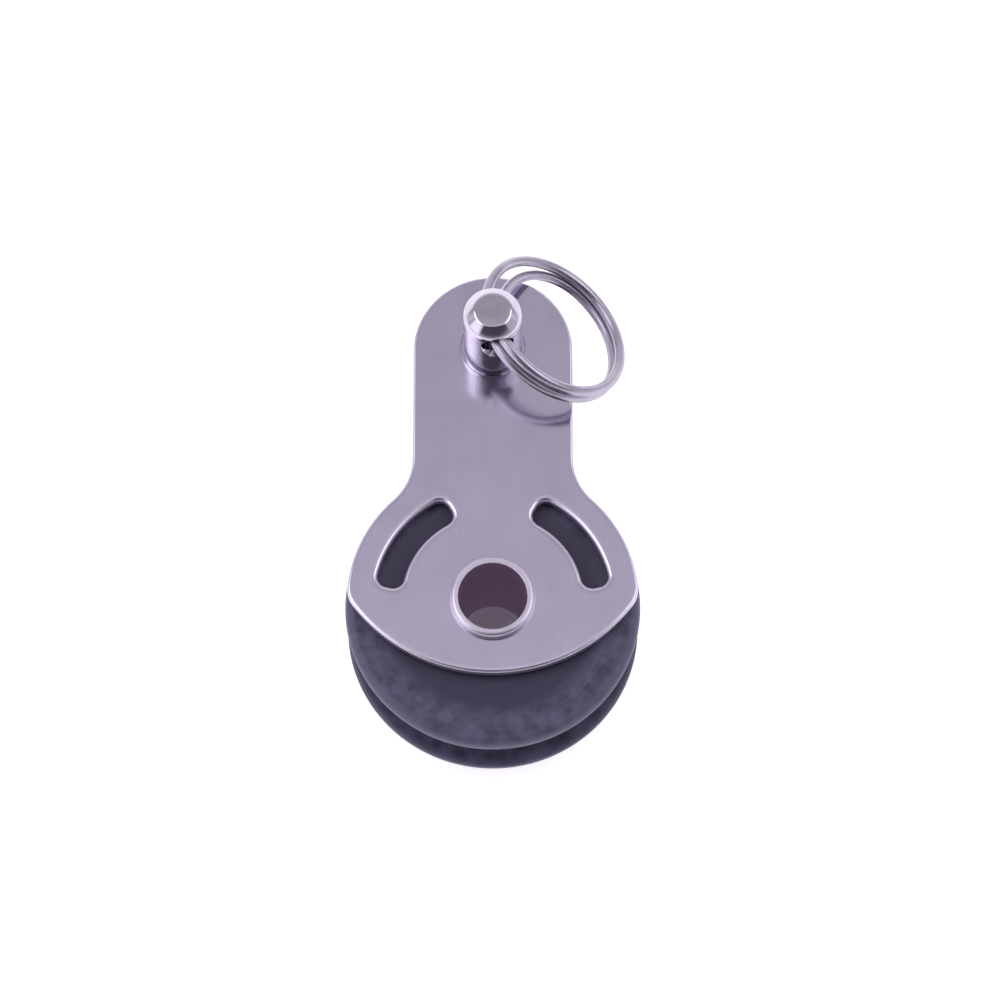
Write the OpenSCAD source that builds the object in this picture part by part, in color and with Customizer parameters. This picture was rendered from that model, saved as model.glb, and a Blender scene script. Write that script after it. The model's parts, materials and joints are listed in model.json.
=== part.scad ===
// Single sheave block: two keyhole cheeks held together by a hollow rivet, with a
// grooved sheave turning on a spacer bush between them, and a clevis pin with a
// split ring through the head. All sizes are in millimetres.
// Frame: the origin is on the sheave axis midway between the cheeks, +Y points to
// the head and +Z points out of the front cheek.

/* [Sheave] */
// Outer diameter of the sheave
sheave_d = 30; // [28:0.5:31]
// Width of the sheave over its rims
sheave_w = 9.2; // [8.6:0.1:9.6]
// Width of the rope groove between its straight walls
groove_w = 6.2; // [5:0.1:6.4]
// Depth of the rope groove below the rim
groove_depth = 4.4; // [4:0.1:5]
// Rounding of the rim's outer corner
rim_round = 1; // [0.6:0.1:1]
// Rounding of the lip where the groove meets the rim
lip_round = 0.4; // [0.2:0.1:0.5]
// Diameter of the raised hub face that rubs on the cheeks
hub_d = 14; // [13:0.5:16]
// How far each hub face stands proud of the rims
hub_proud = 0.3; // [0.2:0.1:0.3]

/* [Cheeks] */
// Thickness of each cheek plate
cheek_t = 1.2; // [1:0.1:1.5]
// Radius of the round part of the cheek, about the sheave axis
cheek_r = 14.8; // [14:0.1:15.4]
// Radius of the flatter arc along the cheek's open end
base_r = 17.4; // [16.5:0.1:19]
// Height of that arc's centre above the sheave axis
base_y = 9.6; // [9:0.1:10.5]
// Radius of the arc that eases the corners between the two
corner_arc_r = 15.3; // [15.2:0.05:15.6]
// Height of that arc's centre above the sheave axis
corner_arc_y = 4.8; // [4.6:0.1:5]
// Width of the straight neck and head
neck_w = 16.5; // [15:0.1:18]
// Height of the centre of the rounded head
head_y = 27.2; // [26:0.1:30]
// Radius of the hollow where the neck meets the round part
neck_fillet_r = 6; // [4:0.5:8]
// Side clearance between a hub face and its cheek
hub_side_gap = 0.1; // [0.1:0.05:0.2]

/* [Arc slots] */
// Radius of the slots' centre line
slot_mid_r = 10.6; // [10:0.1:11]
// Width of each slot
slot_w = 2.7; // [2.4:0.1:3]
// Rounding of the slot's corners
slot_corner = 1.1; // [0.4:0.1:1.1]
// Angle of the lower corners above the horizontal
slot_low_angle = 13; // [10:0.5:20]
// Angle of the upper corners above the horizontal
slot_high_angle = 60; // [45:0.5:65]

/* [Hollow rivet and bush] */
// Diameter of the open bore through the rivet
rivet_bore_d = 7; // [6:0.1:7]
// Wall thickness of the rivet tube
rivet_wall = 0.5; // [0.5:0.05:0.6]
// Outer diameter of each rolled lip
rivet_lip_d = 8.6; // [8.4:0.1:9]
// How far each lip stands proud of its cheek
rivet_lip_h = 0.9; // [0.8:0.05:1]
// Rounding of the lip's outer shoulder
rivet_lip_round = 0.5; // [0.3:0.05:0.5]
// Outer diameter of the spacer bush that the sheave turns on
bush_d = 10; // [9.6:0.1:10.4]
// Radial clearance of the sheave on the bush
bush_clearance = 0.08; // [0.05:0.01:0.1]

/* [Clevis pin] */
// Diameter of the pin's shank
pin_d = 6; // [5:0.1:6]
// Height of the pin's axis above the sheave axis
pin_y = 27.5; // [27:0.1:28]
// How far the shank stands out of the front cheek
pin_reach = 9.65; // [9.5:0.05:10.5]
// Bevel round the shank's free end
pin_bevel = 1.1; // [0.5:0.1:1.2]
// Diameter of the head behind the rear cheek
pin_head_d = 9; // [8.5:0.1:10]
// Thickness of that head
pin_head_t = 1.3; // [1:0.1:1.5]
// Diameter of the cross hole for the split ring
cross_hole_d = 3.3; // [3.2:0.05:3.4]
// Height of the cross hole above the front cheek
cross_hole_z = 6.65; // [6.5:0.05:6.9]
// Turn of the cross hole's axis from straight up the block
cross_hole_yaw = 11; // [0:1:20]

/* [Split ring] */
// Thickness of the ring's wire
wire_d = 1.1; // [0.9:0.05:1.1]
// Mean diameter of the ring
ring_mean_d = 16.2; // [15.6:0.1:16.4]
// Droop of the ring about the cross hole at rest
ring_droop = 37; // [35:1:38]
// Cocking of the ring in the cross hole
ring_cock = 9.5; // [0:0.5:9.5]
// How far the ring's sprung end is tucked inwards
end_tuck = 2; // [1.8:0.1:2.1]

/* [Hidden] */

$fn = 96;
eps = 0.01;
fit_gap = 0.05;

// Stack of parts along the sheave axis
hub_w = sheave_w + 2 * hub_proud;
inner_gap = hub_w + 2 * hub_side_gap;
cheek_in_z = inner_gap / 2;
cheek_out_z = cheek_in_z + cheek_t;

// Rivet and bush radii
rivet_in_r = rivet_bore_d / 2;
rivet_out_r = rivet_in_r + rivet_wall;
rivet_hole_r = rivet_out_r + fit_gap;
rivet_lip_w = rivet_lip_d / 2 - rivet_in_r;
bush_out_r = bush_d / 2;
sheave_bore_r = bush_out_r + bush_clearance;

// Sheave section
sheave_r = sheave_d / 2;
groove_floor_r = sheave_r - groove_depth;
hub_bevel = 0.25;

// Head and neck
neck_half_w = neck_w / 2;
fillet_x = neck_half_w + neck_fillet_r;
fillet_y = sqrt(pow(cheek_r + neck_fillet_r, 2) - fillet_x * fillet_x);
slot_cut = 3 * slot_mid_r;

// Arcs that run into each other bite this far past the tangent point
tangent_bite = 0.01;

// Pin
pin_r = pin_d / 2;
pin_hole_r = pin_r + 0.3;
pin_end_z = cheek_out_z + pin_reach;
pin_head_top_z = -cheek_out_z - fit_gap;
pin_head_round = 0.4;
hole_mouth = 0.3;
hole_centre = [0, pin_y, cheek_out_z + cross_hole_z];

// Ring: angles run along the wire from its sprung end, away from the cross hole
wire_r = wire_d / 2;
wire_sides = 10;
wire_step = 8;
turn_pitch = wire_d + 0.05;
ring_r = ring_mean_d / 2;
ring_bow = ring_r - sqrt(ring_r * ring_r - pin_r * pin_r);
end_before_hole = 40;
wire_sweep = 664;
jog_start = 313;
jog_sweep = 65;
tuck_sweep = 98;

// Rises smoothly from 0 to 1 as t goes from 0 to 1
function ease(t) = let(u = min(max(t, 0), 1)) u * u * (3 - 2 * u);

// 1 at the sprung end, falling to 0 where the two turns lie together
function sprung(a) = 1 - ease(a / tuck_sweep);

// Distance of the wire's centre from the ring's axis
function wire_radius(a) = ring_r - end_tuck * sprung(a);

// Height of the wire's centre over the plane between the two turns
function wire_level(a) = turn_pitch * (ease((a - jog_start) / jog_sweep) - 1 / 2);

// One point on the wire's surface, at angle a along it and angle q round it
function wire_point(a, q) =
    let(bearing = 180 - end_before_hole - a, r = wire_radius(a) + wire_r * cos(q))
    [r * cos(bearing), r * sin(bearing), wire_level(a) + wire_r * sin(q)];

// Outline of a cheek, without its holes
module cheek_outline() {
    difference() {
        union() {
            intersection() {
                circle(cheek_r);
                translate([0, base_y]) circle(base_r);
                translate([0, corner_arc_y]) circle(corner_arc_r);
            }
            translate([-neck_half_w, 0]) square([neck_w, head_y]);
            translate([0, head_y]) circle(neck_half_w);
            polygon([[0, 0], [fillet_x, fillet_y], [-fillet_x, fillet_y]]);
        }
        for (side = [-1, 1]) translate([side * fillet_x, fillet_y]) circle(neck_fillet_r + tangent_bite);
    }
}

// One arc slot with rounded corners, on the +X side
module arc_slot() {
    inner_r = slot_mid_r - slot_w / 2;
    outer_r = slot_mid_r + slot_w / 2;
    intersection() {
        difference() {
            circle(outer_r);
            circle(inner_r);
        }
        polygon([
            [0, 0],
            slot_cut * [cos(slot_low_angle), sin(slot_low_angle)],
            slot_cut * [cos(slot_high_angle), sin(slot_high_angle)]
        ]);
    }
    for (angle = [slot_low_angle, slot_high_angle]) rotate(angle) {
        for (r = [inner_r + slot_corner, outer_r - slot_corner]) {
            translate([r, 0]) circle(slot_corner + tangent_bite);
        }
        translate([inner_r + slot_corner, -slot_corner]) {
            square([slot_w - 2 * slot_corner, 2 * slot_corner]);
        }
    }
}

// Cheek plate lying on z = 0
module cheek_plate() {
    linear_extrude(cheek_t) difference() {
        cheek_outline();
        circle(rivet_hole_r);
        translate([0, pin_y]) circle(pin_hole_r);
        arc_slot();
        rotate(180 - slot_low_angle - slot_high_angle) arc_slot();
    }
}

module front_cheek() {
    color([0.66, 0.64, 0.70]) translate([0, 0, cheek_in_z]) cheek_plate();
}

module rear_cheek() {
    color([0.60, 0.58, 0.64]) translate([0, 0, -cheek_out_z]) cheek_plate();
}

// Section of the sheave: radius along X, width along Y
module sheave_section() {
    rim_h = sheave_w / 2;
    wall_h = groove_w / 2;
    floor_mid_r = groove_floor_r + wall_h;
    difference() {
        union() {
            translate([sheave_bore_r, -rim_h]) square([sheave_r - rim_round - sheave_bore_r, sheave_w]);
            translate([sheave_bore_r, rim_round - rim_h]) {
                square([sheave_r - sheave_bore_r, sheave_w - 2 * rim_round]);
            }
            for (side = [-1, 1]) {
                translate([sheave_r - rim_round, side * (rim_h - rim_round)]) circle(rim_round);
            }
            hub_section();
        }
        translate([floor_mid_r, 0]) circle(wall_h);
        translate([floor_mid_r, -wall_h]) square([sheave_r, groove_w]);
        for (side = [0, 1]) mirror([0, side]) difference() {
            translate([sheave_r - lip_round, wall_h - eps]) square([sheave_r, lip_round + eps]);
            translate([sheave_r - lip_round, wall_h + lip_round]) circle(lip_round);
        }
    }
}

// Section of the raised hub with its bevelled shoulders
module hub_section() {
    hub_r = hub_d / 2;
    polygon([
        [sheave_bore_r, -hub_w / 2],
        [hub_r - hub_bevel, -hub_w / 2],
        [hub_r, -sheave_w / 2],
        [hub_r, sheave_w / 2],
        [hub_r - hub_bevel, hub_w / 2],
        [sheave_bore_r, hub_w / 2]
    ]);
}

module sheave() {
    color([0.24, 0.22, 0.30]) rotate_extrude() sheave_section();
}

module spacer_bush() {
    color([0.72, 0.70, 0.74]) translate([0, 0, -cheek_in_z]) difference() {
        cylinder(r = bush_out_r, h = inner_gap);
        translate([0, 0, -1]) cylinder(r = rivet_hole_r, h = inner_gap + 2);
    }
}

// Section of the rivet's rolled lip, from the bore outwards, standing on z = 0
module rivet_lip_section() {
    translate([rivet_in_r, 0]) {
        square([rivet_lip_w - rivet_lip_round, rivet_lip_h]);
        square([rivet_lip_w, rivet_lip_h - rivet_lip_round]);
        translate([rivet_lip_w - rivet_lip_round, rivet_lip_h - rivet_lip_round]) circle(rivet_lip_round);
    }
}

module hollow_rivet() {
    color([0.78, 0.76, 0.80]) rotate_extrude() {
        translate([rivet_in_r, -cheek_out_z - eps]) square([rivet_wall, 2 * (cheek_out_z + eps)]);
        translate([0, cheek_out_z]) rivet_lip_section();
        mirror([0, 1]) translate([0, cheek_out_z]) rivet_lip_section();
    }
}

// Half section of the pin: radius along X, length along Y
module pin_section() {
    head_r = pin_head_d / 2;
    polygon([
        [0, pin_head_top_z - eps],
        [pin_r, pin_head_top_z - eps],
        [pin_r, pin_end_z - pin_bevel],
        [pin_r - pin_bevel, pin_end_z],
        [0, pin_end_z]
    ]);
    translate([0, pin_head_top_z - pin_head_t]) {
        square([head_r - pin_head_round, pin_head_t]);
        translate([0, pin_head_round]) square([head_r, pin_head_t - pin_head_round]);
        translate([head_r - pin_head_round, pin_head_round]) circle(pin_head_round);
    }
}

// Tool that drills the cross hole and breaks the edges of its two mouths
module cross_hole_cutter() {
    hole_r = cross_hole_d / 2;
    for (side = [0, 1]) mirror([0, side, 0]) rotate([-90, 0, 0]) {
        translate([0, 0, -eps]) cylinder(r = hole_r, h = pin_d);
        translate([0, 0, pin_r - 2 * hole_mouth]) cylinder(r1 = hole_r, r2 = hole_r + pin_d, h = pin_d);
    }
}

module clevis_pin() {
    color([0.80, 0.78, 0.84]) difference() {
        translate([0, pin_y, 0]) rotate_extrude() pin_section();
        translate(hole_centre) rotate([0, 0, cross_hole_yaw]) cross_hole_cutter();
    }
}

// The two-turn wire, with the ring's centre at the origin and its plane on XY
module ring_wire() {
    last = floor(wire_sweep / wire_step);
    points = [
        for (i = [0 : last]) for (k = [0 : wire_sides - 1])
            wire_point(i * wire_step, k * 360 / wire_sides)
    ];
    first_cap = [for (k = [0 : wire_sides - 1]) k];
    last_cap = [for (k = [wire_sides - 1 : -1 : 0]) last * wire_sides + k];
    sides = [
        for (i = [0 : last - 1]) for (k = [0 : wire_sides - 1])
            let(row = i * wire_sides, next = (k + 1) % wire_sides)
            [row + k, row + wire_sides + k, row + wire_sides + next, row + next]
    ];
    polyhedron(points = points, faces = concat([first_cap, last_cap], sides), convexity = 6);
}

module split_ring() {
    color([0.74, 0.72, 0.78]) translate(hole_centre) rotate([0, 0, cross_hole_yaw])
        rotate([-ring_cock, ring_droop, 0]) translate([ring_r - ring_bow / 2, 0, 0]) ring_wire();
}

front_cheek();
rear_cheek();
sheave();
spacer_bush();
hollow_rivet();
clevis_pin();
split_ring();
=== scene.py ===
"""A single sheave block lying on its back on a pale table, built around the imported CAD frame."""
import json
import math

import bmesh
import bpy
from mathutils import Matrix, Vector
from mathutils.geometry import tessellate_polygon


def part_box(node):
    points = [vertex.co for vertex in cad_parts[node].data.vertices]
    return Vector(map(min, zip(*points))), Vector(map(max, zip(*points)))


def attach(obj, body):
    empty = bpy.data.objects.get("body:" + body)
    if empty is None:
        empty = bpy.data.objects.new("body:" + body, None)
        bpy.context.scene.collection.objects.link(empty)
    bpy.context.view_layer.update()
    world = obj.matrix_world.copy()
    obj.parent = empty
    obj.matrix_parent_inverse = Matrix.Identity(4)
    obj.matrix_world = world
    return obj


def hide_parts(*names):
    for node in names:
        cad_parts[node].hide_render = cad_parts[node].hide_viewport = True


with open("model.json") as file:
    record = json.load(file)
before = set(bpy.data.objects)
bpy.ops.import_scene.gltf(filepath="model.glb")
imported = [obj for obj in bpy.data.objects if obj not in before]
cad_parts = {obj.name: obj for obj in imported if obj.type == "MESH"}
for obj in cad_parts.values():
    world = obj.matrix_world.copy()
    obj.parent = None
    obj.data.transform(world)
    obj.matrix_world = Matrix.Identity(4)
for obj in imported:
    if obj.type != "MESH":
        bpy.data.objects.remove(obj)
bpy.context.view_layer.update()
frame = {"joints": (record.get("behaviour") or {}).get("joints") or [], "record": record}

MM = 0.001

# ---------------------------------------------------------------- sizes, in millimetres, from the frame


def node_size(node):
    """Lowest and highest corner of a CAD node, in millimetres."""
    low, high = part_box(node)
    return low / MM, high / MM


def joint_place(name):
    """Position and axis of a joint in the record, the position in millimetres."""
    joint = next(j for j in frame["joints"] if j["name"] == name)
    return Vector(joint["pos_m"]) / MM, Vector(joint["axis"])


def mount_radius(name):
    """Radius of a round mount in the record."""
    return next(m for m in frame["record"]["mounts"] if m["name"] == name)["dims"]["r_mm"]


FRONT_LOW, FRONT_HIGH = node_size("front_cheek")
REAR_LOW, REAR_HIGH = node_size("rear_cheek")
_, SHEAVE_HIGH = node_size("sheave")
BUSH_LOW, BUSH_HIGH = node_size("spacer_bush")
RIVET_LOW, RIVET_HIGH = node_size("hollow_rivet")
PIN_LOW, PIN_HIGH = node_size("clevis_pin")
PIN_AXIS_AT, _ = joint_place("pin_turn")
HOLE_AT, SWING_AXIS = joint_place("ring_swing")
BORE_R = mount_radius("axle_bore")
PIN_R = mount_radius("head_pin")

# Easing of the small turned edges
TURNED_EDGE = 0.1
RIVET_EDGE = 0.08

# Cheek outline: a round part about the sheave axis, cut by a flatter arc below, and a neck with a round head
CHEEK_R = 14.8
BASE_R = 17.4
BASE_Y = BASE_R + FRONT_LOW.y
NECK_HALF_W = 8.25
HEAD_Y = FRONT_HIGH.y - NECK_HALF_W
FILLET_R = 6.0
CORNER_R = 3.0
SLOT_MID_R = 10.6
SLOT_W = 2.7
SLOT_CORNER = 1.1
SLOT_LOW = math.radians(13)
SLOT_HIGH = math.radians(60)
SLOT_ROUND = 0.45
RIVET_HOLE_R = 4.05
PIN_HOLE_R = PIN_R + 0.3
EDGE_ROUND = 0.3
HOLE_ROUND = 0.12
FACE_MARGIN = 0.3

# Sheave section
SHEAVE_R = SHEAVE_HIGH.x
HUB_HALF_W = SHEAVE_HIGH.z
RIM_HALF_W = HUB_HALF_W - 0.3
HUB_R = 7.0
HUB_STEP = 0.25
GROOVE_HALF_W = 3.1
GROOVE_DEPTH = 4.4
GROOVE_ROUND = GROOVE_HALF_W - 0.001
RIM_ROUND = 1.0
LIP_ROUND = 0.4
BUSH_R = BUSH_HIGH.x
SHEAVE_BORE_R = BUSH_R + 0.08

# Rivet and pin sections
TUBE_R = BORE_R + 0.5
LIP_R = RIVET_HIGH.x
LIP_ROLL = 0.5
PIN_BEVEL = 1.1
BEVEL_TOP_EASE = 0.5
BEVEL_LOW_EASE = 1.1
PIN_HEAD_R = PIN_HIGH.x
PIN_HEAD_TOP = REAR_LOW.z - 0.05
HEAD_ROUND = 0.4
END_CENTRE_R = 0.4
CROSS_HOLE_R = 1.65
HOLE_MOUTH = 0.3

# Split ring; the plain numbers from END_BEFORE_HOLE on are degrees along the wire, from its tucked end
WIRE_R = 0.55
TURN_PITCH = 1.15
RING_R = 8.1
RING_DROOP = math.radians(37)
RING_COCK = math.radians(9.5)
END_TUCK = 2.0
END_BEFORE_HOLE = 40
WIRE_SWEEP = 664
WIRE_STEP = 2.5
CUT_ROUND = 1.2
JOG_START = 313
JOG_SWEEP = 65
TUCK_SWEEP = 98

# ---------------------------------------------------------------- mesh helpers


def arc(cx, cy, r, start, end, step=math.radians(2)):
    """Points along an arc from start to end, both ends included."""
    count = max(2, math.ceil(abs(end - start) / step))
    angles = [start + (end - start) * i / count for i in range(count + 1)]
    return [(cx + r * math.cos(a), cy + r * math.sin(a)) for a in angles]


def clean_loop(points, gap=0.02):
    """The closed loop without points that lie on the one before."""
    kept = []
    for p in points:
        if not kept or math.dist(p, kept[-1]) > gap:
            kept.append(p)
    if math.dist(kept[0], kept[-1]) <= gap:
        kept.pop()
    return kept


def add_object(name, mesh_data):
    """A new object in the scene with this bmesh, shaded smooth, in metres."""
    mesh = bpy.data.meshes.new(name)
    bmesh.ops.scale(mesh_data, vec=(MM, MM, MM), verts=mesh_data.verts)
    bmesh.ops.recalc_face_normals(mesh_data, faces=mesh_data.faces)
    mesh_data.to_mesh(mesh)
    mesh_data.free()
    mesh.polygons.foreach_set("use_smooth", [True] * len(mesh.polygons))
    obj = bpy.data.objects.new(name, mesh)
    bpy.context.scene.collection.objects.link(obj)
    return obj


def finish_piece(obj, node, body, material):
    """Hands the piece to the frame and gives it its material."""
    obj.data.materials.append(material)
    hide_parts(node)
    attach(obj, body)


def even_normals(obj):
    """Weights the shading normals by face size, so that flats stay flat beside rounded edges."""
    weighted = obj.modifiers.new("weighted", "WEIGHTED_NORMAL")
    weighted.keep_sharp = True


def revolve(profile, segments, axis_at=(0.0, 0.0)):
    """A closed solid of revolution about Z from a closed profile of (radius, height) points."""
    bm = bmesh.new()
    rings = []
    for k in range(segments):
        angle = 2 * math.pi * k / segments
        c, s = math.cos(angle), math.sin(angle)
        rings.append([
            bm.verts.new((axis_at[0] + r * c, axis_at[1] + r * s, z)) if r > 0 else None
            for r, z in profile
        ])
    tips = {i: bm.verts.new((axis_at[0], axis_at[1], z)) for i, (r, z) in enumerate(profile) if r == 0}
    for k in range(segments):
        here, there = rings[k], rings[(k + 1) % segments]
        for i in range(len(profile)):
            j = (i + 1) % len(profile)
            corners = [here[i] or tips[i], here[j] or tips[j], there[j] or tips[j], there[i] or tips[i]]
            unique = list(dict.fromkeys(corners))
            if len(unique) > 2:
                bm.faces.new(unique)
    return bm


def rounded_profile(corners):
    """A closed profile from (radius, height, rounding) corners, each corner replaced by its arc."""
    points = []
    count = len(corners)
    for i, (x, y, r) in enumerate(corners):
        here = Vector((x, y))
        if r <= 0:
            points.append((x, y))
            continue
        before = (Vector(corners[i - 1][:2]) - here).normalized()
        after = (Vector(corners[(i + 1) % count][:2]) - here).normalized()
        half = before.angle(after) / 2
        reach = r / math.tan(half)
        centre = here + (before + after).normalized() * (r / math.sin(half))
        start = here + before * reach - centre
        end = here + after * reach - centre
        a0 = math.atan2(start.y, start.x)
        turn = math.atan2(start.x * end.y - start.y * end.x, start.dot(end))
        steps = max(3, math.ceil(abs(turn) / math.radians(11)))
        for k in range(steps + 1):
            a = a0 + turn * k / steps
            points.append((centre.x + r * math.cos(a), centre.y + r * math.sin(a)))
    return points


# ---------------------------------------------------------------- the cheeks


def cheek_half_outline():
    """The right half of a cheek's outline, from the foot up to the top of the head."""
    corner_rise = (CHEEK_R - CORNER_R) ** 2 - (BASE_R - CORNER_R) ** 2
    corner_y = (corner_rise + BASE_Y ** 2) / (2 * BASE_Y)
    corner_x = math.sqrt((CHEEK_R - CORNER_R) ** 2 - corner_y ** 2)
    base_end = math.atan2(corner_y - BASE_Y, corner_x)
    round_start = math.atan2(corner_y, corner_x)
    fillet_x = NECK_HALF_W + FILLET_R
    fillet_y = math.sqrt((CHEEK_R + FILLET_R) ** 2 - fillet_x ** 2)
    round_end = math.atan2(fillet_y, fillet_x)
    points = arc(0, BASE_Y, BASE_R, -math.pi / 2, base_end)
    points += arc(corner_x, corner_y, CORNER_R, base_end, round_start, step=math.radians(8))
    points += arc(0, 0, CHEEK_R, round_start, round_end)
    points += arc(fillet_x, fillet_y, FILLET_R, round_end - math.pi, -math.pi, step=math.radians(4))
    points += arc(0, HEAD_Y, NECK_HALF_W, 0, math.pi / 2)
    return points


def slot_outline(side):
    """An arc slot with rounded corners, on the right (side 1) or the left (side -1)."""
    inner, outer = SLOT_MID_R - SLOT_W / 2, SLOT_MID_R + SLOT_W / 2
    near, far = inner + SLOT_CORNER, outer - SLOT_CORNER
    quarter = math.pi / 2

    def corner(radius, bearing, turn):
        start = bearing + turn
        cx, cy = radius * math.cos(bearing), radius * math.sin(bearing)
        return arc(cx, cy, SLOT_CORNER, start, start + quarter, step=math.radians(10))

    points = arc(0, 0, outer, SLOT_LOW, SLOT_HIGH)
    points += corner(far, SLOT_HIGH, 0)
    points += corner(near, SLOT_HIGH, quarter)
    points += arc(0, 0, inner, SLOT_HIGH, SLOT_LOW)
    points += corner(near, SLOT_LOW, 2 * quarter)
    points += corner(far, SLOT_LOW, 3 * quarter)
    return [(side * x, y) for x, y in points]


def inset_loop(loop, outward, distance):
    """The loop moved by distance into the plate; outward is 1 for the outline and -1 for a hole."""
    moved = []
    count = len(loop)
    for i, point in enumerate(loop):
        here = Vector(point)
        before = (here - Vector(loop[i - 1])).normalized()
        after = (Vector(loop[(i + 1) % count]) - here).normalized()
        along = (before + after).normalized()
        spread = max(0.5, along.dot(after))
        normal = Vector((along.y, -along.x)) * outward
        moved.append(here - normal * distance / spread)
    return moved


def counter_clockwise(loop):
    """The loop, turned round if it runs clockwise."""
    area = sum(a[0] * b[1] - b[0] * a[1] for a, b in zip(loop, loop[1:] + loop[:1]))
    return loop if area > 0 else loop[::-1]


def plate_section(rounding, low, high):
    """Rows up a plate's edge, from face to face: inset from the outline, height, and how much it is worn."""
    steps = 6
    rows = [(rounding + FACE_MARGIN, low, 0.0)]
    for k in range(steps + 1):
        a = math.pi / 2 * k / steps
        rows.append((rounding * (1 - math.sin(a)), low + rounding * (1 - math.cos(a)), math.sin(a)))
    mirrored = [(inset, low + high - z, worn) for inset, z, worn in reversed(rows)]
    return rows + mirrored


def plate(name, loops, low, high):
    """A flat plate between two heights from (outline, rounding) loops. The first is its outer edge."""
    bm = bmesh.new()
    worn_layer = bm.verts.layers.float.new("worn")
    caps = [[], []]
    for index, (loop, rounding) in enumerate(loops):
        outward = 1 if index == 0 else -1
        rows = []
        for inset, z, worn in plate_section(rounding, low, high):
            row = [bm.verts.new((p.x, p.y, z)) for p in inset_loop(loop, outward, inset)]
            for v in row:
                v[worn_layer] = worn
            rows.append(row)
        caps[0].append(rows[0])
        caps[1].append(rows[-1])
        for lower, upper in zip(rows, rows[1:]):
            for i in range(len(loop)):
                j = (i + 1) % len(loop)
                bm.faces.new((lower[i], lower[j], upper[j], upper[i]))
    for rings in caps:
        flat = [v for ring in rings for v in ring]
        for triangle in tessellate_polygon([[v.co for v in ring] for ring in rings]):
            bm.faces.new([flat[i] for i in triangle])
    return add_object(name, bm)


def hole_outline(centre, radius):
    """A round hole's outline."""
    return arc(centre[0], centre[1], radius, 0, 2 * math.pi, step=math.radians(3))


def make_cheek(name, low, high):
    """One keyhole-shaped plate between two heights, with its two round holes and two slots."""
    right = cheek_half_outline()
    left = [(-x, y) for x, y in reversed(right)]
    loops = [
        (right + left, EDGE_ROUND),
        (hole_outline((0, 0), RIVET_HOLE_R), HOLE_ROUND),
        (hole_outline(PIN_AXIS_AT, PIN_HOLE_R), HOLE_ROUND),
        (slot_outline(1), SLOT_ROUND),
        (slot_outline(-1), SLOT_ROUND),
    ]
    obj = plate(name, [(counter_clockwise(clean_loop(loop)), r) for loop, r in loops], low, high)
    even_normals(obj)
    return obj


# ---------------------------------------------------------------- sheave, bush and rivet


def make_sheave():
    """The grooved wheel, with a raised hub on each side."""
    floor_r = SHEAVE_R - GROOVE_DEPTH
    profile = rounded_profile([
        (SHEAVE_BORE_R, -HUB_HALF_W, TURNED_EDGE),
        (HUB_R - HUB_STEP, -HUB_HALF_W, TURNED_EDGE),
        (HUB_R, -RIM_HALF_W, TURNED_EDGE),
        (SHEAVE_R, -RIM_HALF_W, RIM_ROUND),
        (SHEAVE_R, -GROOVE_HALF_W, LIP_ROUND),
        (floor_r, -GROOVE_HALF_W, GROOVE_ROUND),
        (floor_r, GROOVE_HALF_W, GROOVE_ROUND),
        (SHEAVE_R, GROOVE_HALF_W, LIP_ROUND),
        (SHEAVE_R, RIM_HALF_W, RIM_ROUND),
        (HUB_R, RIM_HALF_W, TURNED_EDGE),
        (HUB_R - HUB_STEP, HUB_HALF_W, TURNED_EDGE),
        (SHEAVE_BORE_R, HUB_HALF_W, TURNED_EDGE),
    ])
    obj = add_object("sheave_wheel", revolve(profile, segments=240))
    even_normals(obj)
    return obj


def make_bush():
    """The tube that holds the cheeks apart, inside the sheave."""
    profile = rounded_profile([
        (RIVET_HOLE_R, BUSH_LOW.z, TURNED_EDGE),
        (BUSH_R, BUSH_LOW.z, TURNED_EDGE),
        (BUSH_R, BUSH_HIGH.z, TURNED_EDGE),
        (RIVET_HOLE_R, BUSH_HIGH.z, TURNED_EDGE),
    ])
    obj = add_object("spacer_tube", revolve(profile, segments=128))
    even_normals(obj)
    return obj


def make_rivet():
    """The hollow rivet, with a rolled lip seated on the outside of each cheek."""
    profile = rounded_profile([
        (BORE_R, RIVET_LOW.z, RIVET_EDGE),
        (LIP_R, RIVET_LOW.z, LIP_ROLL),
        (LIP_R, -FRONT_HIGH.z, RIVET_EDGE),
        (TUBE_R, -FRONT_HIGH.z, 0),
        (TUBE_R, FRONT_HIGH.z, 0),
        (LIP_R, FRONT_HIGH.z, RIVET_EDGE),
        (LIP_R, RIVET_HIGH.z, LIP_ROLL),
        (BORE_R, RIVET_HIGH.z, RIVET_EDGE),
    ])
    obj = add_object("rolled_rivet", revolve(profile, segments=192))
    obj.data.set_sharp_from_angle(angle=math.radians(50))
    even_normals(obj)
    return obj


# ---------------------------------------------------------------- clevis pin and split ring


def hole_frame():
    """Turns +Z onto the cross hole's axis and moves it to the hole's centre, in millimetres."""
    return Matrix.Translation(HOLE_AT) @ SWING_AXIS.to_track_quat("Z", "Y").to_matrix().to_4x4()


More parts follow.
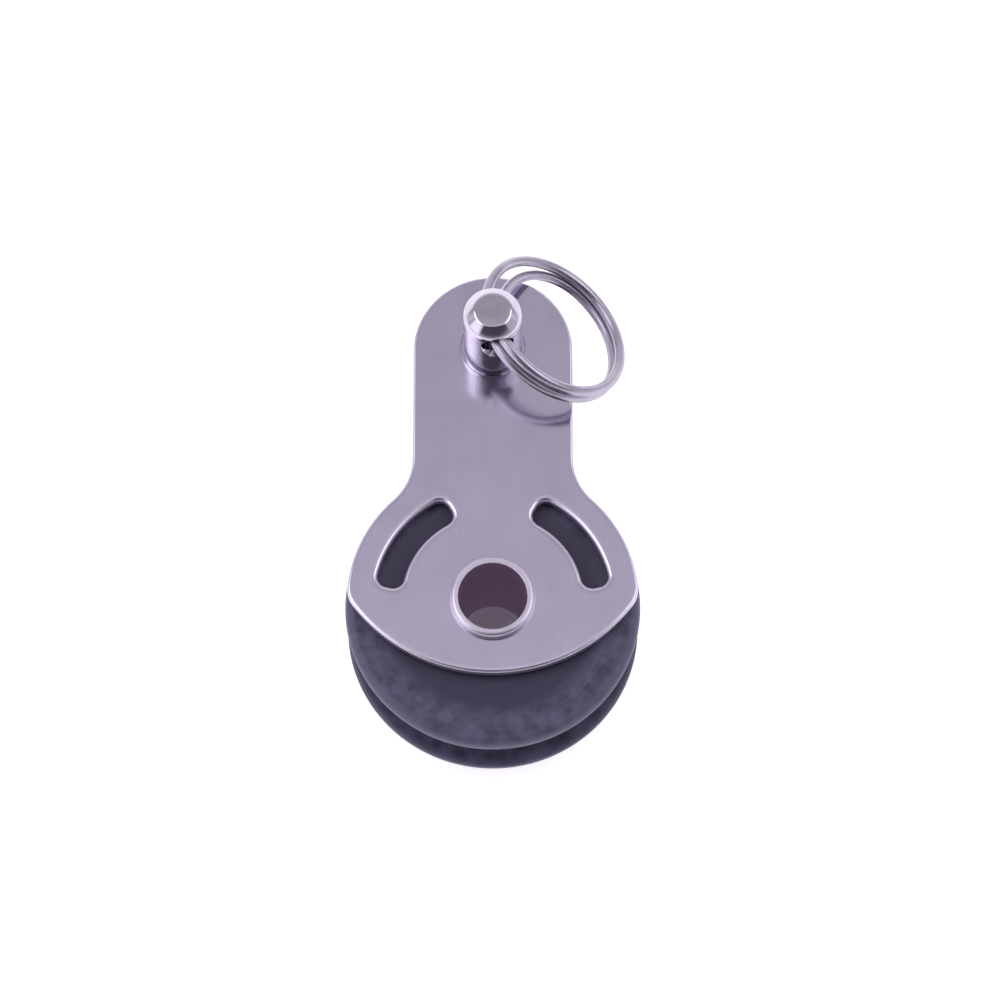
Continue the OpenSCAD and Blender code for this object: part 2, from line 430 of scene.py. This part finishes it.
def pin_blank():
    """The headed pin with its bevelled end, before the cross hole is drilled."""
    shank_end = PIN_HIGH.z - PIN_BEVEL
    shank_rows = 40
    shank = [
        (PIN_R, PIN_HEAD_TOP + (shank_end - PIN_HEAD_TOP) * k / shank_rows, 0)
        for k in range(shank_rows)
    ]
    side = rounded_profile([
        (END_CENTRE_R, PIN_LOW.z, 0),
        (PIN_HEAD_R, PIN_LOW.z, HEAD_ROUND),
        (PIN_HEAD_R, PIN_HEAD_TOP, TURNED_EDGE),
        *shank,
        (PIN_R, shank_end, BEVEL_LOW_EASE),
        (PIN_R - PIN_BEVEL, PIN_HIGH.z, BEVEL_TOP_EASE),
        (END_CENTRE_R, PIN_HIGH.z, 0),
    ])
    profile = [(0, PIN_LOW.z), *side, (0, PIN_HIGH.z)]
    return add_object("pin_body", revolve(profile, segments=192, axis_at=PIN_AXIS_AT.xy))


def hole_cutter():
    """A rod along the cross hole that widens to a countersink at each mouth."""
    reach = 2 * PIN_R
    mouth = PIN_R - 2 * HOLE_MOUTH
    profile = [
        (0, -reach),
        (CROSS_HOLE_R + reach - mouth, -reach),
        (CROSS_HOLE_R, -mouth),
        (CROSS_HOLE_R, mouth),
        (CROSS_HOLE_R + reach - mouth, reach),
        (0, reach),
    ]
    rod = revolve(profile, segments=96)
    bmesh.ops.transform(rod, matrix=hole_frame(), verts=rod.verts)
    return add_object("cross_hole_cutter", rod)


def make_pin():
    """The clevis pin with its cross hole drilled through."""
    blank = pin_blank()
    cutter = hole_cutter()
    cut = blank.modifiers.new("cross_hole", "BOOLEAN")
    cut.object = cutter
    cut.operation = "DIFFERENCE"
    cut.solver = "EXACT"
    bpy.context.view_layer.update()
    drilled = bpy.data.meshes.new_from_object(blank.evaluated_get(bpy.context.evaluated_depsgraph_get()))
    blank.modifiers.clear()
    blank.data = drilled
    bpy.data.objects.remove(cutter)
    drilled.set_sharp_from_angle(angle=math.radians(30))
    even_normals(blank)
    return blank


def ease(t):
    """Rises smoothly from 0 to 1 as t goes from 0 to 1."""
    u = min(max(t, 0.0), 1.0)
    return u * u * (3 - 2 * u)


def wire_ring(a, thickness):
    """Points round the wire at a degrees along it, with the ring's centre at the origin."""
    radius = RING_R - END_TUCK * (1 - ease(a / TUCK_SWEEP))
    level = TURN_PITCH * (ease((a - JOG_START) / JOG_SWEEP) - 0.5)
    bearing = math.radians(180 - END_BEFORE_HOLE - a)
    sides = 28
    points = []
    for k in range(sides):
        q = 2 * math.pi * k / sides
        r = radius + thickness * math.cos(q)
        z = level + thickness * math.sin(q)
        points.append(Vector((r * math.cos(bearing), r * math.sin(bearing), z)))
    return points


def wire_stations():
    """Places along the wire in degrees, and the wire's radius there; both cut ends are rounded off."""
    shoulder, tip = WIRE_R * 0.93, WIRE_R * 0.72
    count = int((WIRE_SWEEP - 2 * CUT_ROUND) / WIRE_STEP) + 1
    first = [(0, tip), (CUT_ROUND / 3, shoulder)]
    full = [(CUT_ROUND + WIRE_STEP * k, WIRE_R) for k in range(count)]
    last = [(WIRE_SWEEP - CUT_ROUND / 3, shoulder), (WIRE_SWEEP, tip)]
    return first + full + last


def make_ring():
    """Two turns of wire through the cross hole, lying over to the right of the pin."""
    yaw = math.atan2(SWING_AXIS.x, -SWING_AXIS.y)
    bow = RING_R - math.sqrt(RING_R ** 2 - PIN_R ** 2)
    place = (
        Matrix.Translation(HOLE_AT)
        @ Matrix.Rotation(yaw, 4, "Z")
        @ Matrix.Rotation(RING_DROOP, 4, "Y")
        @ Matrix.Rotation(-RING_COCK, 4, "X")
        @ Matrix.Translation((RING_R - bow / 2, 0, 0))
    )
    bm = bmesh.new()
    rings = [[bm.verts.new(place @ p) for p in wire_ring(a, r)] for a, r in wire_stations()]
    for here, there in zip(rings, rings[1:]):
        for k in range(len(here)):
            j = (k + 1) % len(here)
            bm.faces.new((here[k], here[j], there[j], there[k]))
    bm.faces.new(rings[0][::-1])
    bm.faces.new(rings[-1])
    obj = add_object("split_ring_wire", bm)
    obj.data.set_sharp_from_angle(angle=math.radians(40))
    even_normals(obj)
    return obj


# ---------------------------------------------------------------- node helpers


class Graph:
    """A node tree, with helpers for maths and colours."""

    def __init__(self, tree):
        self.nodes = tree.nodes
        self.links = tree.links

    def plug(self, value, socket):
        """Links an output to the socket, or sets the socket to a plain number or colour."""
        if isinstance(value, bpy.types.NodeSocket):
            self.links.new(value, socket)
        elif isinstance(value, tuple):
            socket.default_value = (*value, 1.0)
        else:
            socket.default_value = value

    def calculate(self, operation, first, second):
        """The result of one maths operation on two values."""
        node = self.nodes.new("ShaderNodeMath")
        node.operation = operation
        self.plug(first, node.inputs[0])
        self.plug(second, node.inputs[1])
        return node.outputs["Value"]

    def span(self, value, low, high, start=0.3, end=0.7):
        """The value's range from start to end, mapped to low to high. The usual range suits noise."""
        node = self.nodes.new("ShaderNodeMapRange")
        node.inputs["From Min"].default_value = start
        node.inputs["From Max"].default_value = end
        node.inputs["To Min"].default_value = low
        node.inputs["To Max"].default_value = high
        self.links.new(value, node.inputs["Value"])
        return node.outputs["Result"]

    def blend(self, factor, first, second):
        """A colour between two colours."""
        node = self.nodes.new("ShaderNodeMix")
        node.data_type = "RGBA"
        # The colour sockets go by number, because every data type's sockets have the same names
        first_colour, second_colour, result = node.inputs[6], node.inputs[7], node.outputs[2]
        self.links.new(factor, node.inputs["Factor"])
        self.plug(first, first_colour)
        self.plug(second, second_colour)
        return result


# ---------------------------------------------------------------- materials


class Surface(Graph):
    """A node material on one Principled shader, with helpers for procedural detail in millimetre scale."""

    def __init__(self, name, metallic, **uniform):
        self.material = bpy.data.materials.new(name)
        self.material.use_nodes = True
        super().__init__(self.material.node_tree)
        self.shader = self.nodes["Principled BSDF"]
        self.shader.inputs["Metallic"].default_value = metallic
        for socket, value in uniform.items():
            self.shader.inputs[socket].default_value = value
        self.place = self.nodes.new("ShaderNodeTexCoord").outputs["Object"]

    def noise(self, features, detail=3.0, place=None):
        """Noise from 0 to 1, with this many features per millimetre along X, Y and Z."""
        mapping = self.nodes.new("ShaderNodeMapping")
        mapping.inputs["Scale"].default_value = [f / MM for f in features]
        self.links.new(place or self.place, mapping.inputs["Vector"])
        texture = self.nodes.new("ShaderNodeTexNoise")
        texture.inputs["Scale"].default_value = 1.0
        texture.inputs["Detail"].default_value = detail
        self.links.new(mapping.outputs["Vector"], texture.inputs["Vector"])
        return texture.outputs["Fac"]

    def distance(self, centre):
        """Distance from the upright axis through centre, in metres."""
        shift = self.nodes.new("ShaderNodeVectorMath")
        shift.operation = "SUBTRACT"
        shift.inputs[1].default_value = (centre[0] * MM, centre[1] * MM, 0)
        self.links.new(self.place, shift.inputs[0])
        flat = self.nodes.new("ShaderNodeVectorMath")
        flat.operation = "MULTIPLY"
        flat.inputs[1].default_value = (1, 1, 0)
        self.links.new(shift.outputs["Vector"], flat.inputs[0])
        length = self.nodes.new("ShaderNodeVectorMath")
        length.operation = "LENGTH"
        self.links.new(flat.outputs["Vector"], length.inputs[0])
        return length.outputs["Value"]

    def height(self):
        """Height along Z, in metres."""
        split = self.nodes.new("ShaderNodeSeparateXYZ")
        self.links.new(self.place, split.inputs["Vector"])
        return split.outputs["Z"]

    def round_place(self, centre):
        """Coordinates of (distance from the upright axis through centre, 0, height)."""
        joined = self.nodes.new("ShaderNodeCombineXYZ")
        self.links.new(self.distance(centre), joined.inputs["X"])
        self.links.new(self.height(), joined.inputs["Z"])
        return joined.outputs["Vector"]

    def add(self, first, second):
        """The sum of two values."""
        return self.calculate("ADD", first, second)

    def attribute(self, name):
        """A value stored on the mesh's points."""
        node = self.nodes.new("ShaderNodeAttribute")
        node.attribute_name = name
        return node.outputs["Fac"]

    def colour(self, output):
        """Gives the shader its base colour."""
        self.links.new(output, self.shader.inputs["Base Color"])

    def roughness(self, output):
        """Gives the shader its roughness."""
        self.links.new(output, self.shader.inputs["Roughness"])

    def bump(self, height, depth_mm, before=None):
        """Bumps of this depth, added on top of an earlier bump's normal."""
        node = self.nodes.new("ShaderNodeBump")
        node.inputs["Distance"].default_value = depth_mm * MM
        self.links.new(height, node.inputs["Height"])
        if before:
            self.links.new(before, node.inputs["Normal"])
        self.links.new(node.outputs["Normal"], self.shader.inputs["Normal"])
        return node.outputs["Normal"]


def cheek_steel():
    """Satin stainless plate: fine grain along the neck, faint smudges, brighter worn edges."""
    s = Surface("cheek_steel_satin", 1.0)
    grain = s.noise((9.0, 0.5, 9.0), 4.0)
    smudge = s.noise((0.22, 0.16, 0.2), 3.0)
    worn = s.attribute("worn")
    tone = s.blend(s.span(smudge, 0.0, 1.0), (0.63, 0.595, 0.71), (0.685, 0.65, 0.765))
    streaked = s.blend(s.span(grain, 0.0, 0.35), tone, (0.575, 0.54, 0.655))
    s.colour(s.blend(s.span(worn, 0.0, 0.8, 0.0, 1.0), streaked, (0.76, 0.74, 0.80)))
    satin = s.add(s.span(smudge, 0.115, 0.155), s.span(grain, -0.015, 0.03))
    s.roughness(s.add(satin, s.span(worn, 0.0, 0.27, 0.0, 0.7)))
    s.bump(grain, 0.0012)
    return s.material


def sheave_plastic():
    """Charcoal moulded plastic, mottled and scuffed; painted shade darkens it under the cheeks and a painted
    highlight makes it paler at the rim.
    """
    scuff_and_rim_highlight_grey = (0.135, 0.122, 0.195)
    s = Surface("sheave_plastic_charcoal", 0.0, **{"IOR": 1.5})
    blotch = s.noise((0.62, 0.62, 0.4), 5.0)
    speck = s.noise((3.2, 3.2, 3.2), 3.0)
    scuff = s.noise((7.0, 1.0, 7.0), 3.0, s.round_place((0, 0)))
    tone = s.blend(s.span(blotch, 0.0, 1.0, 0.36, 0.64), (0.042, 0.037, 0.072), (0.100, 0.092, 0.152))
    scuffed = s.blend(s.span(scuff, 0.0, 0.4, 0.5, 0.8), tone, scuff_and_rim_highlight_grey)
    away = s.distance((0, 0))
    # Painted shade: the face is coloured darker where the cheeks cover it, inside about 10.6 to 12 mm from
    # the axis.
    painted_cheek_shade = s.blend(s.span(away, 1.0, 0.0, 10.6 * MM, 12.0 * MM), scuffed, (0.036, 0.029, 0.064))
    # Painted highlight: the rim is coloured paler towards its outer edge, in the same grey used for the real
    # scuff marks.
    s.colour(s.blend(s.span(away, 0.0, 0.5, 13.9 * MM, 14.7 * MM), painted_cheek_shade, scuff_and_rim_highlight_grey))
    s.roughness(s.add(s.span(blotch, 0.40, 0.54), s.span(speck, -0.04, 0.06)))
    s.bump(scuff, 0.006, s.bump(speck, 0.012))
    return s.material


def rivet_steel():
    """Rolled lip: smooth, with the spinning tool's fine rings; the bore is dull and coloured darker and
    plum-tinted as painted shade.
    """
    s = Surface("rivet_steel_rolled", 1.0)
    ring = s.noise((6.0, 1.0, 6.0), 2.0, s.round_place((0, 0)))
    smudge = s.noise((0.5, 0.5, 0.5), 3.0)
    polished = s.blend(s.span(smudge, 0.0, 1.0), (0.66, 0.62, 0.70), (0.74, 0.70, 0.78))
    wall = s.span(s.distance((0, 0)), 1.0, 0.0, (BORE_R + 0.005) * MM, (BORE_R + 0.04) * MM)
    # Painted shade: the bore wall gets a darker, plum-tinted colour; the same mask also makes it rougher.
    s.colour(s.blend(wall, polished, (0.64, 0.51, 0.63)))
    satin = s.add(s.span(smudge, 0.36, 0.44), s.span(ring, -0.02, 0.03))
    s.roughness(s.add(satin, s.span(wall, 0.0, 0.08, 0.0, 1.0)))
    s.bump(ring, 0.003)
    return s.material


def bush_steel():
    """Turned tube, with tool marks round it."""
    s = Surface("bush_steel_turned", 1.0)
    ring = s.noise((0.2, 0.2, 8.0), 2.0)
    smudge = s.noise((0.6, 0.6, 0.6), 3.0)
    s.colour(s.blend(s.span(smudge, 0.0, 1.0), (0.52, 0.51, 0.54), (0.62, 0.61, 0.64)))
    s.roughness(s.span(ring, 0.22, 0.34))
    s.bump(ring, 0.004)
    return s.material


def pin_steel():
    """Polished pin, with faint turning marks round the shank and on the end."""
    s = Surface("pin_steel_polished", 1.0)
    turned = s.noise((3.0, 1.0, 3.0), 3.0, s.round_place(PIN_AXIS_AT))
    smudge = s.noise((0.5, 0.5, 0.25), 3.0)
    s.colour(s.blend(s.span(smudge, 0.0, 1.0), (0.55, 0.52, 0.59), (0.63, 0.60, 0.67)))
    s.roughness(s.add(s.span(smudge, 0.07, 0.13), s.span(turned, -0.01, 0.025)))
    s.bump(turned, 0.0015)
    return s.material


def ring_wire():
    """Bright drawn spring wire."""
    s = Surface("ring_wire_bright", 1.0)
    fleck = s.noise((2.2, 2.2, 2.2), 3.0)
    smudge = s.noise((0.4, 0.4, 0.4), 2.0)
    s.colour(s.blend(s.span(smudge, 0.0, 1.0), (0.41, 0.38, 0.45), (0.51, 0.48, 0.55)))
    s.roughness(s.add(s.span(smudge, 0.27, 0.35), s.span(fleck, -0.02, 0.03)))
    s.bump(fleck, 0.002)
    return s.material


def table_top():
    """Plain pale floor, lit from below like a light table by its own painted glow, with a painted shadow
    where the glow fades out under the rivet's bore.
    """
    dim, bright = 0.02, 0.72
    s = Surface("pale_table", 0.0, **{"Emission Color": (1.0, 0.985, 1.0, 1.0)})
    cloud = s.noise((0.02, 0.02, 0.02), 2.0)
    away = s.distance((0, 0))
    # Painted shadow: the floor's glow drops from bright to dim within 13 mm of the rivet's axis.
    glow = s.span(away, dim, bright, 6 * MM, 13 * MM)
    s.links.new(glow, s.shader.inputs["Emission Strength"])
    s.colour(s.blend(s.span(cloud, 0.0, 1.0), (0.80, 0.78, 0.83), (0.82, 0.80, 0.85)))
    s.roughness(s.span(cloud, 0.55, 0.65))
    return s.material


# ---------------------------------------------------------------- the block, put together

plate_finish = cheek_steel()
front_plate = make_cheek("front_plate", FRONT_LOW.z, FRONT_HIGH.z)
finish_piece(front_plate, "front_cheek", "frame", plate_finish)
rear_plate = make_cheek("rear_plate", REAR_LOW.z, REAR_HIGH.z)
finish_piece(rear_plate, "rear_cheek", "frame", plate_finish)
finish_piece(make_sheave(), "sheave", "sheave", sheave_plastic())
finish_piece(make_bush(), "spacer_bush", "frame", bush_steel())
finish_piece(make_rivet(), "hollow_rivet", "frame", rivet_steel())
finish_piece(make_pin(), "clevis_pin", "pin", pin_steel())
finish_piece(make_ring(), "split_ring", "ring", ring_wire())

# ---------------------------------------------------------------- table, light and camera

TABLE_HALF_W = 4000
CAMERA_AT = (0.00074, -0.11035, 0.33850)
CAMERA_TILT = math.radians(20)
CAMERA_LENS = 124.8
STUDIO_TINT = (0.93, 0.88, 1.0)
DARK_SIDE = (0.085, 0.075, 0.100)
# Brightness of the surround against the Y of its direction, from the camera's side to the far side
SURROUND_LEVELS = (
    (-0.30, 0.70),
    (-0.04, 0.72),
    (0.08, 0.90),
    (0.18, 0.80),
    (0.28, 0.67),
    (0.40, 0.52),
    (0.55, 0.55),
    (0.80, 0.90),
    (1.0, 1.0),
)

table_bm = bmesh.new()
bmesh.ops.create_grid(table_bm, x_segments=1, y_segments=1, size=TABLE_HALF_W)
bmesh.ops.translate(table_bm, vec=(0, 0, PIN_LOW.z), verts=table_bm.verts)
table = add_object("table", table_bm)
table.data.materials.append(table_top())


def softbox(name, place, across, along, radiance):
    """A softbox facing the block, seen in its reflections but not by the camera."""
    data = bpy.data.lights.new(name, "AREA")
    data.shape = "RECTANGLE"
    data.size = across
    data.size_y = along
    data.color = STUDIO_TINT
    data.energy = radiance * math.pi * across * along
    lamp = bpy.data.objects.new(name, data)
    lamp.location = place
    lamp.rotation_euler = Vector(place).to_track_quat("Z", "Y").to_euler()
    lamp.visible_camera = False
    bpy.context.scene.collection.objects.link(lamp)


softbox("soft_left", (-0.376, 0.03, 0.518), 0.46, 0.34, 1.7)
softbox("soft_right", (0.394, 0.08, 0.504), 0.46, 0.30, 1.5)
softbox("soft_low_left", (-0.52, -0.26, 0.24), 0.42, 0.36, 0.85)


def soft_sky():
    """Studio surround, plain white to the camera, with a dark wedge of sky on the camera's side."""
    world = bpy.data.worlds.new("studio")
    bpy.context.scene.world = world
    world.use_nodes = True
    sky = Graph(world.node_tree)
    place = sky.nodes.new("ShaderNodeTexCoord")
    split = sky.nodes.new("ShaderNodeSeparateXYZ")
    sky.links.new(place.outputs["Generated"], split.inputs["Vector"])
    x, y, z = split.outputs["X"], split.outputs["Y"], split.outputs["Z"]

    ramp = sky.nodes.new("ShaderNodeValToRGB")
    ramp.color_ramp.interpolation = "EASE"
    stops = ramp.color_ramp.elements
    for direction, level in SURROUND_LEVELS:
        stop = stops.new((direction + 1) / 2)
        stop.color = (*(level * tint for tint in STUDIO_TINT), 1.0)
    stops.remove(stops[-1])
    stops.remove(stops[0])
    sky.links.new(sky.span(y, 0.0, 1.0, -1.0, 1.0), ramp.inputs["Fac"])

    # The wedge opens from overhead towards -Y, wider on the right, and fades out near the horizon
    right_edge = sky.calculate("MULTIPLY", x, 0.6)
    left_edge = sky.calculate("MULTIPLY", x, -0.85)
    sideways = sky.calculate("MAXIMUM", right_edge, left_edge)
    nearness = sky.calculate("MULTIPLY", sky.calculate("ADD", y, sideways), -1.0)
    wedge = sky.span(nearness, 0.0, 1.0, -0.02, 0.08)
    raised = sky.span(z, 0.0, 1.0, 0.20, 0.34)
    surround = sky.blend(sky.calculate("MULTIPLY", wedge, raised), ramp.outputs["Color"], DARK_SIDE)

    ray = sky.nodes.new("ShaderNodeLightPath")
    backdrop = sky.blend(ray.outputs["Is Camera Ray"], surround, (1.0, 1.0, 1.0))
    sky.links.new(backdrop, sky.nodes["Background"].inputs["Color"])
    sky.nodes["Background"].inputs["Strength"].default_value = 1.0


soft_sky()
bpy.context.scene.view_settings.view_transform = "Standard"

camera_data = bpy.data.cameras.new("camera")
camera_data.lens = CAMERA_LENS
camera_data.sensor_width = 36
camera = bpy.data.objects.new("camera", camera_data)
camera.location = CAMERA_AT
camera.rotation_euler = (CAMERA_TILT, 0, 0)
bpy.context.scene.collection.objects.link(camera)
bpy.context.scene.camera = camera

bpy.context.view_layer.update()
